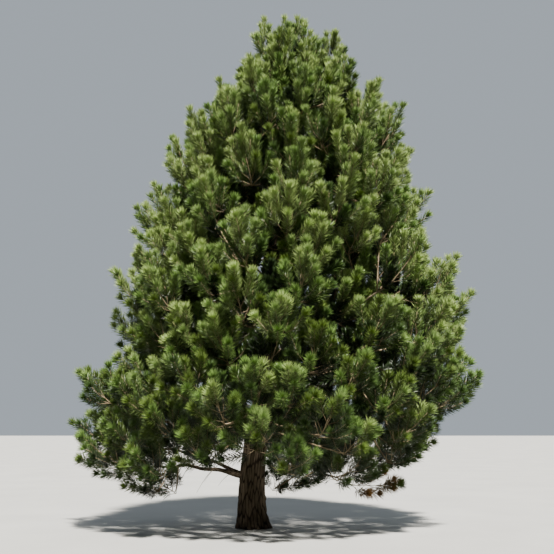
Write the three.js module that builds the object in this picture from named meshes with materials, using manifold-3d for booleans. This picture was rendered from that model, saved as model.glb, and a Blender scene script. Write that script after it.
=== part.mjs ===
// Austrian pine, a whole tree about 8.6 m tall: a leaning trunk with a root flare, limbs in whorls
// round it, and a mass of needle sprays on each limb. Millimetres, +Z up, the origin at the middle of
// the flat cut at ground level. The tree is seen from -Y, with +X to the right.
import * as THREE from "three";
import { mergeVertices } from "three/addons/utils/BufferGeometryUtils.js";
import Module from "manifold-3d";

// Crown: how far its tips reach to the left (-X) and right (+X) of the trunk at some heights, the
// heights of its leader's tip and its underside, and how far short or beyond single tips stay.
const CROWN_OUTLINE = [
  { height: 550, left: 1800, right: 1300 },
  { height: 1000, left: 2350, right: 1850 },
  { height: 1400, left: 2750, right: 2900 },
  { height: 2300, left: 2780, right: 3250 },
  { height: 2900, left: 2200, right: 3150 },
  { height: 3500, left: 2550, right: 3150 },
  { height: 4100, left: 2300, right: 3000 },
  { height: 4550, left: 2150, right: 2550 },
  { height: 5050, left: 2350, right: 2480 },
  { height: 5500, left: 1800, right: 2400 },
  { height: 6300, left: 1880, right: 1950 },
  { height: 7150, left: 1220, right: 1700 },
  { height: 7800, left: 520, right: 750 },
  { height: 8200, left: 500, right: 950 },
];
const CROWN_TOP = 8480;
const UNDERSIDE = 1250;
const REACH_VARIATION = 0.05;
const RISE_VARIATION = 0.15;
const GROUND_GAP = 420;

// A hollow at the front right of the crown, round a point that lies so far out of the trunk
const HOLLOW_HEIGHT = 3500;
const HOLLOW_TURN = -58;
const HOLLOW_REACH = 2550;
const HOLLOW_RADIUS = 560;

// Trunk
const TRUNK_HEIGHT = 7450;
const TRUNK_RADIUS = 226;
const TRUNK_TIP_RADIUS = 15;
const TRUNK_SHAPE = 0.9;
const TRUNK_SIDES = 14;
const TRUNK_RINGS = 16;
const RING_CROWDING = 1.6;
const LEAN = 0.078;
const SWAY = 62;
const SWAY_LENGTH = 3600;
const FLARE = 52;
const FLARE_HEIGHT = 210;
const FLARE_SIDE = 0.55;
const ROOT_LOBES = 4;
const ROOT_LOBE_DEPTH = 0.5;

// Limbs
const CLEARANCE = 0.3;
const LIMB_SIDES = 6;
const LIMB_RINGS = 2;
const LIMB_TAPER = 0.6;
const COLLAR = 0.45;
const COLLAR_SHARE = 0.1;
const TURN_VARIATION = 9;
const ARCH_OUT = 0.55;
const ARCH_UP = 0.3;
const LINE_STEPS = 12;
const STEM_SIDES = 4;
const STEM_RINGS = 3;
const STEM_TIP_RADIUS = 20;

// Twigs that carry the sprays
const TWIG_RADIUS = 12;
const TWIG_TIP_RADIUS = 8;
const TWIG_SLANT = 0.3;
const TWIG_LONGEST = 1600;
const LOW_TWIG_LONGEST = 1050;
const TWIG_CHECKS = 10;
const TWIGS_FROM = 0.25;
const TWIGS_PAST_BOUGH = 0.06;

// Sprays of needles: a slim core with two tiers of points and a ring of notches between them. Balls
// round the core and at the points stand for a spray where its room is checked.
const SPRAY_LENGTH = 790;
const SPRAY_RADIUS = 358;
const SPRAY_SIDES = 3;
const SPRAY_RINGS = [
  { at: 0.52, out: 1 },
  { at: 0.38, out: 0.28 },
  { at: 0.66, out: 0.5 },
];
const CORE_BALLS = [
  { at: 0.2, radius: 0.25 },
  { at: 0.36, radius: 0.42 },
  { at: 0.52, radius: 0.6 },
  { at: 0.68, radius: 0.4 },
  { at: 0.84, radius: 0.25 },
  { at: 0.96, radius: 0.1 },
];
const POINT_BALL_OUT = 0.72;
const POINT_BALL_RADIUS = 0.3;
const SPRAY_VARIATION = 0.12;
const FULL_SIZE_REACH = 2000;
const LEAST_SIZE = 0.66;
const SPRAY_SINK = 70;
const SPRAY_OVERHANG = 0.85;
const UPTURN = 0.45;
const CROWDING = 0.85;
const SPRAY_GAP = 20;

// Where the sprays' tips lie: on shells of the crown, one after another up a spiral, with an even area
// for each. Then the angles at which sprays rise, low down and at the top, and how far the leader leans.
const GOLDEN_TURN = Math.PI * (3 - Math.sqrt(5));
const SHELLS = [
  { share: 1, area: 0.5e6, turn: 0 },
  { share: 0.67, area: 0.68e6, turn: 1.5 },
];
const LOW_LIFT = 24;
const HIGH_LIFT = 66;
const LEADER_LEAN = 140;

// Whorls from the ground up: height on the trunk, number of limbs, turn of the first one from +X, rise
// of the tips above the foot, thickness at the foot and the share of the limb that is a bare bough. With
// no bare share the mass springs from the trunk itself.
const WHORLS = [
  { name: "skirt", height: 1420, limbs: 5, turn: 52, rise: 420, radius: 44, bare: 0.4 },
  { name: "lower", height: 2120, limbs: 6, turn: 0, rise: 560, radius: 42, bare: 0.42 },
  { name: "middle", height: 2980, limbs: 5, turn: 36, rise: 760, radius: 38, bare: 0.38 },
  { name: "upper", height: 3880, limbs: 4, turn: 8, rise: 1050, radius: 34, bare: 0.36 },
  { name: "high", height: 4780, limbs: 4, turn: 52, rise: 1120, radius: 27, bare: 0 },
  { name: "shoulder", height: 5620, limbs: 4, turn: 14, rise: 1130, radius: 23, bare: 0 },
  { name: "top", height: 6420, limbs: 4, turn: 270, rise: 1300, radius: 19, bare: 0 },
];

// The three lowest limbs, which the whorls don't cover: two that part from one foot on the left and arch
// upwards, and one on the right that sinks towards the ground.
const LOW_LIMBS = [
  { name: "low_left", height: 760, turn: 187, reach: 2500, tip: 900, arch: 300, radius: 42, bare: 0.54 },
  {
    name: "low_left_fork", forks: "low_left", height: 775, turn: 176, reach: 2800, tip: 1300, arch: 400,
    radius: 36, bare: 0.48,
  },
  { name: "low_right", height: 1180, turn: -14, reach: 2150, tip: 720, arch: 0, radius: 34, bare: 0.5 },
];

// Vertices closer together than this are one.
const WELD = 1e-3;

const wasm = await Module();
wasm.setup();
const { clamp, degToRad, lerp } = THREE.MathUtils;
const UP = new THREE.Vector3(0, 0, 1);
const bark = new THREE.MeshStandardMaterial({ color: 0x4a3f36, roughness: 0.95, metalness: 0 });
const limbBark = new THREE.MeshStandardMaterial({ color: 0x6b5a4a, roughness: 0.9, metalness: 0 });
const needles = new THREE.MeshStandardMaterial({ color: 0x4f6434, roughness: 0.7, metalness: 0 });

// A number from 0 to 1 that depends only on its keys, so that the same tree grows each time.
function chance(a, b, c) {
  const wave = Math.sin(a * 12.9898 + b * 78.233 + c * 37.719) * 43758.5453;
  return wave - Math.floor(wave);
}

// A factor near 1, up to a share more or less.
function varied(share, a, b, c) {
  return 1 + share * (2 * chance(a, b, c) - 1);
}

// How far the tips reach from the trunk at a height, in the direction of a turn from +X.
function crownReach(height, turn) {
  const last = CROWN_OUTLINE.length - 1;
  const next = clamp(CROWN_OUTLINE.findIndex((ring) => ring.height >= height), 1, last);
  const from = CROWN_OUTLINE[next - 1];
  const to = CROWN_OUTLINE[next];
  const share = clamp((height - from.height) / (to.height - from.height), 0, 1);
  const left = lerp(from.left, to.left, share);
  const right = lerp(from.right, to.right, share);
  return lerp(left, right, (1 + Math.cos(turn)) / 2);
}

// The middle of the trunk at a height: it leans towards +X with a slow sway.
function trunkPoint(height) {
  const swing = Math.sin((2 * Math.PI * height) / SWAY_LENGTH);
  return new THREE.Vector3(LEAN * height - SWAY * swing, (SWAY / 2) * swing, height);
}

function trunkRadius(height) {
  const left = Math.max(0, 1 - height / TRUNK_HEIGHT);
  return TRUNK_TIP_RADIUS + (TRUNK_RADIUS - TRUNK_TIP_RADIUS) * left ** TRUNK_SHAPE;
}

// Root flare: swells towards the ground, in lobes, and most on the +X side.
function flareRadius(height, angle) {
  const lobes = 1 + ROOT_LOBE_DEPTH * Math.cos(ROOT_LOBES * angle) + FLARE_SIDE * Math.cos(angle);
  return FLARE * lobes * Math.exp(-height / FLARE_HEIGHT);
}

function solidOf(geometry) {
  geometry.deleteAttribute("normal");
  geometry.deleteAttribute("uv");
  const merged = mergeVertices(geometry, WELD);
  const mesh = new wasm.Mesh({
    numProp: 3,
    vertProperties: merged.attributes.position.array,
    triVerts: new Uint32Array(merged.index.array),
  });
  return new wasm.Manifold(mesh);
}

function geometryOf(solid) {
  const mesh = solid.getMesh();
  return new THREE.BufferGeometry()
    .setAttribute("position", new THREE.BufferAttribute(mesh.vertProperties, 3))
    .setIndex(new THREE.BufferAttribute(mesh.triVerts, 1))
    .toNonIndexed();
}

// Moves every vertex of a geometry to the point that place(x, y, z) gives.
function shaped(geometry, place) {
  const position = geometry.attributes.position;
  for (let i = 0; i < position.count; i++) {
    const moved = place(position.getX(i), position.getY(i), position.getZ(i));
    position.setXYZ(i, moved.x, moved.y, moved.z);
  }
  return geometry;
}

// The trunk, ring by ring, with the rings closer together towards the flare, grown by a clearance.
function trunkSolid(grown) {
  const cylinder = new THREE.CylinderGeometry(1, 1, 1, TRUNK_SIDES, TRUNK_RINGS);
  const place = (x, y, z) => {
    const height = TRUNK_HEIGHT * (y + 0.5) ** RING_CROWDING;
    const angle = Math.atan2(-z, x);
    const full = trunkRadius(height) + flareRadius(height, angle) + grown;
    const radius = Math.hypot(x, z) * full;
    return trunkPoint(height).add(new THREE.Vector3(radius * Math.cos(angle), radius * Math.sin(angle), 0));
  };
  return solidOf(shaped(cylinder, place));
}

// Right-handed axes across a direction: side is level, over points up.
function across(along) {
  const side = along.clone().cross(UP).normalize();
  return { side, over: side.clone().cross(along) };
}

// A tapering tube along a stretch of a curve, with flat ends.
function tube(curve, from, to, radiusAt, sides, rings) {
  const cylinder = new THREE.CylinderGeometry(1, 1, 1, sides, rings);
  const place = (x, y, z) => {
    const share = y + 0.5;
    const t = lerp(from, to, share);
    const { side, over } = across(curve.getTangent(t));
    const radius = radiusAt(share);
    return curve.getPoint(t).addScaledVector(side, x * radius).addScaledVector(over, z * radius);
  };
  return solidOf(shaped(cylinder, place));
}

// Sprays are smaller where the crown is narrow.
function spraySize(reach) {
  return clamp(reach / FULL_SIZE_REACH, LEAST_SIZE, 1);
}

// The angle at which sprays rise: they lean outwards low down and stand up towards the top.
function sprayLift(height) {
  return degToRad(lerp(LOW_LIFT, HIGH_LIFT, height / CROWN_TOP));
}

// A limb's line, from the middle of the trunk out to where its last spray begins, arched up where asked.
function limbLine(foot, turn, reach, tip, arch = 0) {
  const out = new THREE.Vector3(Math.cos(turn), Math.sin(turn), 0);
  const start = trunkPoint(foot);
  const overhang = SPRAY_OVERHANG * Math.cos(sprayLift(tip));
  const length = reach - SPRAY_LENGTH * spraySize(reach) * overhang;
  const end = trunkPoint(tip).addScaledVector(out, length);
  const bend = start.clone().addScaledVector(out, length * ARCH_OUT);
  bend.z = lerp(foot, tip, ARCH_UP) + arch;
  return new THREE.QuadraticBezierCurve3(start, bend, end);
}

// Every limb of the tree: the low ones, the whorls and the leader.
function listLimbs() {
  const limbs = LOW_LIMBS.map((low) => {
    const line = limbLine(low.height, degToRad(low.turn), low.reach, low.tip, low.arch);
    return { ...low, low: true, line };
  });
  for (const whorl of WHORLS) {
    for (let i = 0; i < whorl.limbs; i++) {
      const seed = limbs.length + 1;
      const swing = TURN_VARIATION * (2 * chance(seed, 1, 0) - 1);
      const turn = degToRad(whorl.turn + (360 / whorl.limbs) * i + swing);
      const tip = whorl.height + whorl.rise * varied(RISE_VARIATION, seed, 2, 0);
      const sprayTop = tip + SPRAY_LENGTH * Math.sin(sprayLift(tip));
      const reach = crownReach(sprayTop, turn) * varied(REACH_VARIATION, seed, 3, 0);
      const line = limbLine(whorl.height, turn, reach, tip);
      limbs.push({ ...whorl, name: `${whorl.name}_${i + 1}`, reach, line });
    }
  }
  const above = trunkPoint(CROWN_TOP - SPRAY_LENGTH * LEAST_SIZE - SPRAY_SINK);
  above.x += LEADER_LEAN;
  const line = new THREE.LineCurve3(trunkPoint(TRUNK_HEIGHT), above);
  limbs.push({ name: "leader", line, reach: 0, radius: TRUNK_TIP_RADIUS, bare: 0 });
  limbs.forEach((limb, index) => {
    limb.seed = index + 1;
    limb.knots = limb.line.getPoints(LINE_STEPS);
    limb.bough = limb.knots.slice(0, Math.ceil(limb.bare * LINE_STEPS) + 1);
    limb.from = Math.max(limb.bare + TWIGS_PAST_BOUGH, TWIGS_FROM);
    limb.stem = limb.knots.map((_, i) => limb.line.getPoint(lerp(limb.from, 1, i / LINE_STEPS)));
  });
  return limbs;
}

function distanceToLine(point, knots) {
  const segment = new THREE.Line3();
  const nearest = new THREE.Vector3();
  let best = Infinity;
  for (let i = 1; i < knots.length; i++) {
    segment.set(knots[i - 1], knots[i]).closestPointToPoint(point, true, nearest);
    best = Math.min(best, nearest.distanceTo(point));
  }
  return best;
}

// Whether balls of a limb's mass are clear of the ground, the trunk, the limb's own bare bough and every
// other limb and its twigs.
function hasRoom(limb, crown, balls) {
  const clear = ({ middle, radius }) => {
    if (middle.z < radius + GROUND_GAP) return false;
    const fromTrunk = middle.distanceTo(trunkPoint(Math.min(middle.z, TRUNK_HEIGHT)));
    if (fromTrunk < trunkRadius(middle.z) + radius + CLEARANCE) return false;
    if (limb.bare > 0 && distanceToLine(middle, limb.bough) < radius + limb.radius) return false;
    const misses = (other) => distanceToLine(middle, other.knots) > radius + other.radius + CLEARANCE;
    return [...crown.limbs, ...crown.twigs].every((other) => other.seed === limb.seed || misses(other));
  };
  return balls.every(clear);
}

// Whether balls are apart from all the sprays, less strictly from those of their own limb.
function apart(limb, crown, balls, closeness) {
  return crown.sprays.every((spray) => {
    const share = spray.seed === limb.seed ? closeness : 1;
    const keeps = (a, b) => a.middle.distanceTo(b.middle) > share * (a.radius + b.radius + SPRAY_GAP);
    return balls.every((a) => spray.balls.every((b) => keeps(a, b)));
  });
}

// A ring of a spray: its middle, the direction it faces and its radius.
function sprayRing(spray, { at, out }) {
  const middle = spray.root.clone().addScaledVector(spray.along, spray.length * at);
  return { middle, facing: spray.along, radius: spray.radius * out };
}

// The rings of the twig under a spray: its foot inside the stem, and its end at the spray's root.
function twigRings(spray) {
  const going = spray.root.clone().sub(spray.foot).normalize();
  const bending = going.clone().add(spray.along).normalize();
  return [
    { middle: spray.foot, facing: going, radius: TWIG_RADIUS },
    { middle: spray.root, facing: bending, radius: TWIG_TIP_RADIUS },
  ];
}

// A point on a ring: the axes across the spray are turned the shortest way until they face as the ring.
function ringPoint(spray, ring, angle) {
  const { side, over } = across(spray.along);
  const turn = new THREE.Quaternion().setFromUnitVectors(spray.along, ring.facing);
  const out = side.multiplyScalar(Math.cos(angle)).addScaledVector(over, Math.sin(angle));
  return ring.middle.clone().addScaledVector(out.applyQuaternion(turn), ring.radius);
}

// A twig with the spray of needles that it ends in, as one solid. Each ring is turned half a step from
// the ring below it, so that points stand over points, with the notches between them.
function spraySolid(spray) {
  const rings = [...twigRings(spray), ...SPRAY_RINGS.map((ring) => sprayRing(spray, ring))];
  const tip = sprayRing(spray, { at: 1, out: 0 }).middle;
  const steps = rings.length + 1;
  const sphere = new THREE.SphereGeometry(1, SPRAY_SIDES, steps);
  const place = (x, y, z) => {
    const step = steps - Math.round((Math.acos(clamp(y, -1, 1)) / Math.PI) * steps);
    if (step === 0) return spray.foot;
    if (step === steps) return tip;
    const angle = Math.atan2(z, x) + spray.roll - (step * Math.PI) / SPRAY_SIDES;
    return ringPoint(spray, rings[step - 1], angle);
  };
  return solidOf(shaped(sphere, place));
}

function sprayBalls(spray) {
  const balls = CORE_BALLS.map(({ at, radius }) => {
    return { middle: sprayRing(spray, { at, out: 0 }).middle, radius: radius * spray.radius };
  });
  for (const { at, out } of [SPRAY_RINGS[0], SPRAY_RINGS[2]]) {
    for (let i = 0; i < SPRAY_SIDES; i++) {
      const angle = spray.roll + (2 * Math.PI * i) / SPRAY_SIDES;
      const middle = ringPoint(spray, sprayRing(spray, { at, out: out * POINT_BALL_OUT }), angle);
      balls.push({ middle, radius: out * POINT_BALL_RADIUS * spray.radius });
    }
  }
  return balls;
}

// The sites for sprays, from the ground up on each shell of the crown.
function listSites() {
  const sites = [];
  for (const shell of SHELLS) {
    let turn = shell.turn;
    let height = CROWN_OUTLINE[0].height;
    while (height < CROWN_OUTLINE.at(-1).height) {
      const key = sites.length + 1;
      const reach = shell.share * crownReach(height, turn) * varied(REACH_VARIATION, key, 1, 0);
      sites.push({ key, height, turn, reach });
      const mean = crownReach(height, Math.PI / 2);
      height += (shell.area * spraySize(mean) ** 2) / (2 * Math.PI * shell.share * mean);
      turn += GOLDEN_TURN;
    }
  }
  return sites;
}

function siteSpray({ key, height, turn, reach }) {
  const lift = sprayLift(height);
  const out = new THREE.Vector3(Math.cos(turn), Math.sin(turn), 0);
  const along = out.clone().multiplyScalar(Math.cos(lift)).addScaledVector(UP, Math.sin(lift));
  const size = spraySize(crownReach(height, turn)) * varied(SPRAY_VARIATION, key, 2, 0);
  const length = SPRAY_LENGTH * size;
  const tip = trunkPoint(height).addScaledVector(out, reach);
  const root = tip.addScaledVector(along, -length);
  return { root, along, length, radius: SPRAY_RADIUS * size, roll: 2 * Math.PI * chance(key, 3, 0) };
}

// The spray that a limb ends in, on a short twig out of the stem's end.
function endSpray(limb) {
  const going = limb.line.getTangent(1);
  const foot = limb.line.getPoint(1).addScaledVector(going, -SPRAY_SINK);
  const root = limb.line.getPoint(1).addScaledVector(going, SPRAY_SINK);
  const along = going.addScaledVector(UP, UPTURN).normalize();
  const size = spraySize(limb.reach);
  const roll = 2 * Math.PI * chance(limb.seed, 4, 0);
  return { foot, root, along, length: SPRAY_LENGTH * size, radius: SPRAY_RADIUS * size, roll };
}

function nearestLimb(limbs, point) {
  return limbs.reduce((best, limb) => {
    return distanceToLine(point, limb.stem) < distanceToLine(point, best.stem) ? limb : best;
  });
}

// Where the twig to a point leaves a limb's stem: at a slant, so further in than the nearest place.
function twigFoot(limb, point) {
  const spans = limb.stem.map((knot) => knot.distanceTo(point));
  const nearest = spans.indexOf(Math.min(...spans)) / LINE_STEPS;
  const back = (TWIG_SLANT * distanceToLine(point, limb.stem)) / limb.line.getLength();
  return limb.line.getPoint(Math.max(limb.from, lerp(limb.from, 1, nearest) - back));
}

function twigBalls(twig) {
  const balls = [];
  for (let i = 1; i <= TWIG_CHECKS; i++) {
    const middle = twig.knots[0].clone().lerp(twig.knots[1], i / TWIG_CHECKS);
    balls.push({ middle, radius: TWIG_RADIUS });
  }
  return balls;
}

function inHollow(spray) {
  const turn = degToRad(HOLLOW_TURN);
  const out = new THREE.Vector3(Math.cos(turn), Math.sin(turn), 0);
  const hollow = trunkPoint(HOLLOW_HEIGHT).addScaledVector(out, HOLLOW_REACH);
  const middle = spray.root.clone().addScaledVector(spray.along, spray.length / 2);
  return middle.distanceTo(hollow) < HOLLOW_RADIUS;
}

// Grows the crown: the spray at each limb's end, then a twig and a spray at each site, on the limb that
// passes nearest to it, where they find room. None grow in the hollow, and below the underside only the low
// limbs bear any.
function growCrown(limbs) {
  const crown = { limbs, twigs: [], sprays: [] };
  const addSpray = (limb, spray) => {
    crown.sprays.push({ ...spray, seed: limb.seed, balls: sprayBalls(spray) });
  };
  for (const limb of limbs) addSpray(limb, endSpray(limb));
  for (const site of listSites()) {
    const spray = siteSpray(site);
    const limb = nearestLimb(limbs, spray.root);
    spray.foot = twigFoot(limb, spray.root);
    const twig = { seed: limb.seed, radius: TWIG_RADIUS, knots: [spray.foot, spray.root] };
    const hangs = site.height < UNDERSIDE && !limb.low;
    const longest = limb.low ? LOW_TWIG_LONGEST : TWIG_LONGEST;
    const straggles = spray.foot.distanceTo(spray.root) > longest;
    const balls = [...twigBalls(twig), ...sprayBalls(spray)];
    const fits = hasRoom(limb, crown, balls) && apart(limb, crown, balls, CROWDING);
    if (inHollow(spray) || hangs || straggles || !fits) continue;
    crown.twigs.push(twig);
    addSpray(limb, spray);
  }
  return crown;
}

// The mass of needles on one limb: a stem that carries the limb's line on to its tip, with the twigs and
// their sprays fused on.
function massSolid(limb, crown, trunkGrown) {
  const springs = limb.bare === 0;
  const start = springs ? 0 : limb.bare + CLEARANCE / limb.line.getLength();
  const foot = springs ? limb.radius : limb.radius * LIMB_TAPER;
  const radiusAt = (share) => lerp(foot, STEM_TIP_RADIUS, share);
  const stem = tube(limb.line, start, 1, radiusAt, STEM_SIDES, STEM_RINGS);
  const sprays = crown.sprays.filter((spray) => spray.seed === limb.seed).map(spraySolid);
  const joined = wasm.Manifold.union([stem, ...sprays]);
  return springs ? joined.subtract(trunkGrown) : joined;
}

// A bare bough from the trunk to where it enters its mass, with a swollen collar at its foot.
function boughSolid(limb, grown) {
  const radiusAt = (share) => {
    const collar = COLLAR * Math.exp(-share / COLLAR_SHARE);
    return limb.radius * (lerp(1, LIMB_TAPER, share) + collar) + grown;
  };
  return tube(limb.line, 0, limb.bare, radiusAt, LIMB_SIDES, LIMB_RINGS);
}

const tree = new THREE.Group();

function addNode(name, solid, material) {
  const mesh = new THREE.Mesh(geometryOf(solid), material);
  mesh.name = name;
  tree.add(mesh);
}

const crown = growCrown(listLimbs());

const trunkGrown = trunkSolid(CLEARANCE);
addNode("trunk", trunkSolid(0), bark);
for (const limb of crown.limbs) {
  const parent = crown.limbs.find((other) => other.name === limb.forks);
  const carrier = parent ? trunkGrown.add(boughSolid(parent, CLEARANCE)) : trunkGrown;
  if (limb.bare > 0) addNode(`bough_${limb.name}`, boughSolid(limb, 0).subtract(carrier), limbBark);
  addNode(`needles_${limb.name}`, massSolid(limb, crown, trunkGrown), needles);
}

export default tree;
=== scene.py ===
"""Looks of an Austrian pine about 8.6 m tall. Metres, +Z up, the origin at the middle of the trunk's foot;
the tree is seen from -Y, with +X to the right. Named angles are in degrees, apart from those that a comment
says are in radians. Limbs, twigs and sprays grow by the rule of the solids, with the same named sizes, and
each spray goes on into shoots that bear the needles."""

import bpy
import numpy as np
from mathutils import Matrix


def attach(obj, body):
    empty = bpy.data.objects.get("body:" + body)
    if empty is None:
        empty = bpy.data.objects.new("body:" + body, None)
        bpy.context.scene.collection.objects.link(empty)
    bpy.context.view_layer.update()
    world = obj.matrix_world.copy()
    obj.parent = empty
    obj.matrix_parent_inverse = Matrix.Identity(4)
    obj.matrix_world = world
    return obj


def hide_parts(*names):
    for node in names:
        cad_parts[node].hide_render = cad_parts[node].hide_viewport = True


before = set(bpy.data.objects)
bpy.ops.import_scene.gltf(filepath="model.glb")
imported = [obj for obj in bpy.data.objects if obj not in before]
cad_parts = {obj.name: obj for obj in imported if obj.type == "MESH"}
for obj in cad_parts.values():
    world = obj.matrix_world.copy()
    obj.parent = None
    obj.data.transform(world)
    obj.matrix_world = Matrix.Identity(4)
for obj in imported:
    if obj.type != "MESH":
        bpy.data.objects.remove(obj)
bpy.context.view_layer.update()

# Chance: the factors of its three keys, and how widely it spreads them
CHANCE_FIRST = 12.9898
CHANCE_SECOND = 78.233
CHANCE_THIRD = 37.719
CHANCE_SPREAD = 43758.5453

# Crown: at some heights, how far its tips reach to the left (-X) and right (+X) of the trunk
OUTLINE = np.array([
    (0.55, 1.8, 1.3),
    (1.0, 2.35, 1.85),
    (1.4, 2.75, 2.9),
    (2.3, 2.78, 3.25),
    (2.9, 2.2, 3.15),
    (3.5, 2.55, 3.15),
    (4.1, 2.3, 3.0),
    (4.55, 2.15, 2.55),
    (5.05, 2.35, 2.48),
    (5.5, 1.8, 2.4),
    (6.3, 1.88, 1.95),
    (7.15, 1.22, 1.7),
    (7.8, 0.52, 0.75),
    (8.2, 0.5, 0.95),
])
OUTLINE_HEIGHT, OUTLINE_LEFT, OUTLINE_RIGHT = OUTLINE.T
CROWN_FOOT = OUTLINE_HEIGHT[0]
CROWN_TOP = 8.48
UNDERSIDE = 1.25
REACH_VARIATION = 0.05
RISE_VARIATION = 0.15
GROUND_GAP = 0.42

# A hollow at the front right of the crown, round a point so far out from the trunk
HOLLOW_HEIGHT = 3.5
HOLLOW_TURN = -58
HOLLOW_REACH = 2.55
HOLLOW_RADIUS = 0.56

# Trunk; the turn of its knob is in radians
TRUNK_HEIGHT = 7.45
TRUNK_RADIUS = 0.226
TRUNK_TIP_RADIUS = 0.015
TRUNK_SHAPE = 0.9
LEAN = 0.078
SWAY = 0.062
SWAY_LENGTH = 3.6
FLARE = 0.052
FLARE_HEIGHT = 0.21
FLARE_SIDE = 0.55
ROOT_LOBES = 4
ROOT_LOBE_DEPTH = 0.5
TRUNK_SIDES = 144
TRUNK_RINGS = 460
TRUNK_CROWDING = 1.3
KNOB_TURN = -0.35
KNOB_HEIGHT = 0.47
KNOB_SIZE = 0.045
KNOB_STANDS_OUT = 0.03
WHORL_SWELL = 0.05
WHORL_SWELL_HEIGHT = 0.09

# Bark: plates parted by furrows, with finer scales on the plates, and its values at a tube's end points
PLATE_COLUMNS = 27
PLATE_LENGTH = 0.26
PLATE_JITTER = 0.9
PLATE_UNEVENNESS = 0.4
FURROW_SHARE = 0.34
FURROW_DEPTH = 0.06
SCALES_PER_PLATE = 3
SCALE_DEPTH = 0.02
LIMB_PLATE_COLUMNS = 8
LIMB_PLATE_LENGTH = 0.09
LIMB_FURROW_DEPTH = 0.1
TRUNK_BARK_SEED = 11
END_VALUES = [0.5, 0.5]

# Limbs
CLEARANCE = 0.0003
LIMB_TAPER = 0.6
COLLAR = 0.45
COLLAR_SHARE = 0.1
TURN_VARIATION = 9
ARCH_OUT = 0.55
ARCH_UP = 0.3
LINE_STEPS = 12
LENGTH_STEPS = 200
BOUGH_SIDES = 20
BOUGH_RINGS = 80
STEM_SIDES = 10
STEM_RINGS = 60
STEM_TIP_RADIUS = 0.011
LIMB_WAVE = 0.018
LIMB_WAVES = 3.5

# Twigs that carry the sprays
TWIG_ROOM = 0.012
TWIG_SLANT = 0.3
TWIG_LONGEST = 1.6
LOW_TWIG_LONGEST = 1.05
TWIG_CHECKS = 10
TWIGS_FROM = 0.25
TWIGS_PAST_BOUGH = 0.06
TWIG_RADIUS = 0.012
TWIG_TIP_RADIUS = 0.004
TWIG_SIDES = 6
TWIG_BEND_STEPS = 7
TWIG_BEND_END = 0.08
TWIG_AXIS_STEPS = 5
TWIG_AXIS_END = 0.62

# Sprays: the room that each one takes, as balls down its core and at its points
SPRAY_LENGTH = 0.79
SPRAY_RADIUS = 0.358
SPRAY_SIDES = 3
POINT_TIERS = [(0.52, 1.0), (0.66, 0.5)]
CORE_BALLS = [(0.2, 0.25), (0.36, 0.42), (0.52, 0.6), (0.68, 0.4), (0.84, 0.25), (0.96, 0.1)]
POINT_BALL_OUT = 0.72
POINT_BALL_RADIUS = 0.3
SPRAY_VARIATION = 0.12
FULL_SIZE_REACH = 2.0
LEAST_SIZE = 0.66
SPRAY_SINK = 0.07
SPRAY_OVERHANG = 0.85
UPTURN = 0.45
CROWDING = 0.85
SPRAY_GAP = 0.02

# The golden turn, and the shells that the sprays' tips lie on: share of the crown's reach, area for each
# spray and first turn. These turns are in radians.
GOLDEN_TURN = np.pi * (3 - np.sqrt(5))
SHELLS = [(1.0, 0.5, 0.0), (0.67, 0.68, 1.5)]
LOW_LIFT = 24
HIGH_LIFT = 66
LEADER_LEAN = 0.14

# Whorls from the ground up: name, height, limbs, turn of the first, rise of the tips, radius, bare share
WHORLS = [
    ("skirt", 1.42, 5, 52, 0.42, 0.044, 0.4),
    ("lower", 2.12, 6, 0, 0.56, 0.042, 0.42),
    ("middle", 2.98, 5, 36, 0.76, 0.038, 0.38),
    ("upper", 3.88, 4, 8, 1.05, 0.034, 0.36),
    ("high", 4.78, 4, 52, 1.12, 0.027, 0.0),
    ("shoulder", 5.62, 4, 14, 1.13, 0.023, 0.0),
    ("top", 6.42, 4, 270, 1.3, 0.019, 0.0),
]

# The lowest limbs: name, height, turn, reach, height of the tip, rise of the arch, radius, bare share
LOW_LIMBS = [
    ("low_left", 0.76, 187, 2.5, 0.9, 0.3, 0.042, 0.54),
    ("low_left_fork", 0.775, 176, 2.8, 1.3, 0.4, 0.036, 0.48),
    ("low_right", 1.18, -14, 2.15, 0.72, 0, 0.034, 0.5),
]

# Shoots of a spray, in tiers round its axis: where they leave it, how far along and out they end, the turn
# of the first from the spray's own points, and how many there are
SHOOT_TIERS = [
    (0.02, 0.36, 0.95, 60, 3),
    (0.14, 0.54, 0.88, 0, 3),
    (0.34, 0.72, 0.55, 60, 2),
    (0.52, 0.86, 0.3, 0, 2),
]
TIP_SHOOT_FROM = 0.45
TIP_SHOOT_TO = 0.92
TIP_SHOOT_LONGER = 0.44
SHOOT_VARIATION = 0.2
SHOOT_END_VARIATION = 0.12
SHOOT_TURN_VARIATION = 26
SHOOT_BEND_OUT = 0.62
SHOOT_BEND_ALONG = 0.35
LOW_UPSWEEP = 0.06
HIGH_UPSWEEP = 0.27
TIP_UPSWEEP = 0.75
SHOOT_DROOP = 0.5
SHOOT_RADIUS = 0.0055
SHOOT_TIP_RADIUS = 0.003
SHOOT_SIDES = 3
SHOOT_STEPS = 3
BARE_SHOOT = 0.36

# Side shoots on twigs and stems; below the crown's underside only above a height and so far from the trunk
SIDE_SHOOT_EVERY = 0.16
SIDE_SHOOT_FROM = 0.22
SIDE_SHOOT_LENGTH = 0.44
SIDE_SHOOT_MOST = 10
SIDE_SHOOT_BEND = 1 / 3
SIDE_SHOOT_LIFT = 0.7
SIDE_SHOOT_DROOP = 0.1
LOW_SHOOT_REACH = 1.25
LOW_SHOOT_HEIGHT = 0.8

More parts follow.
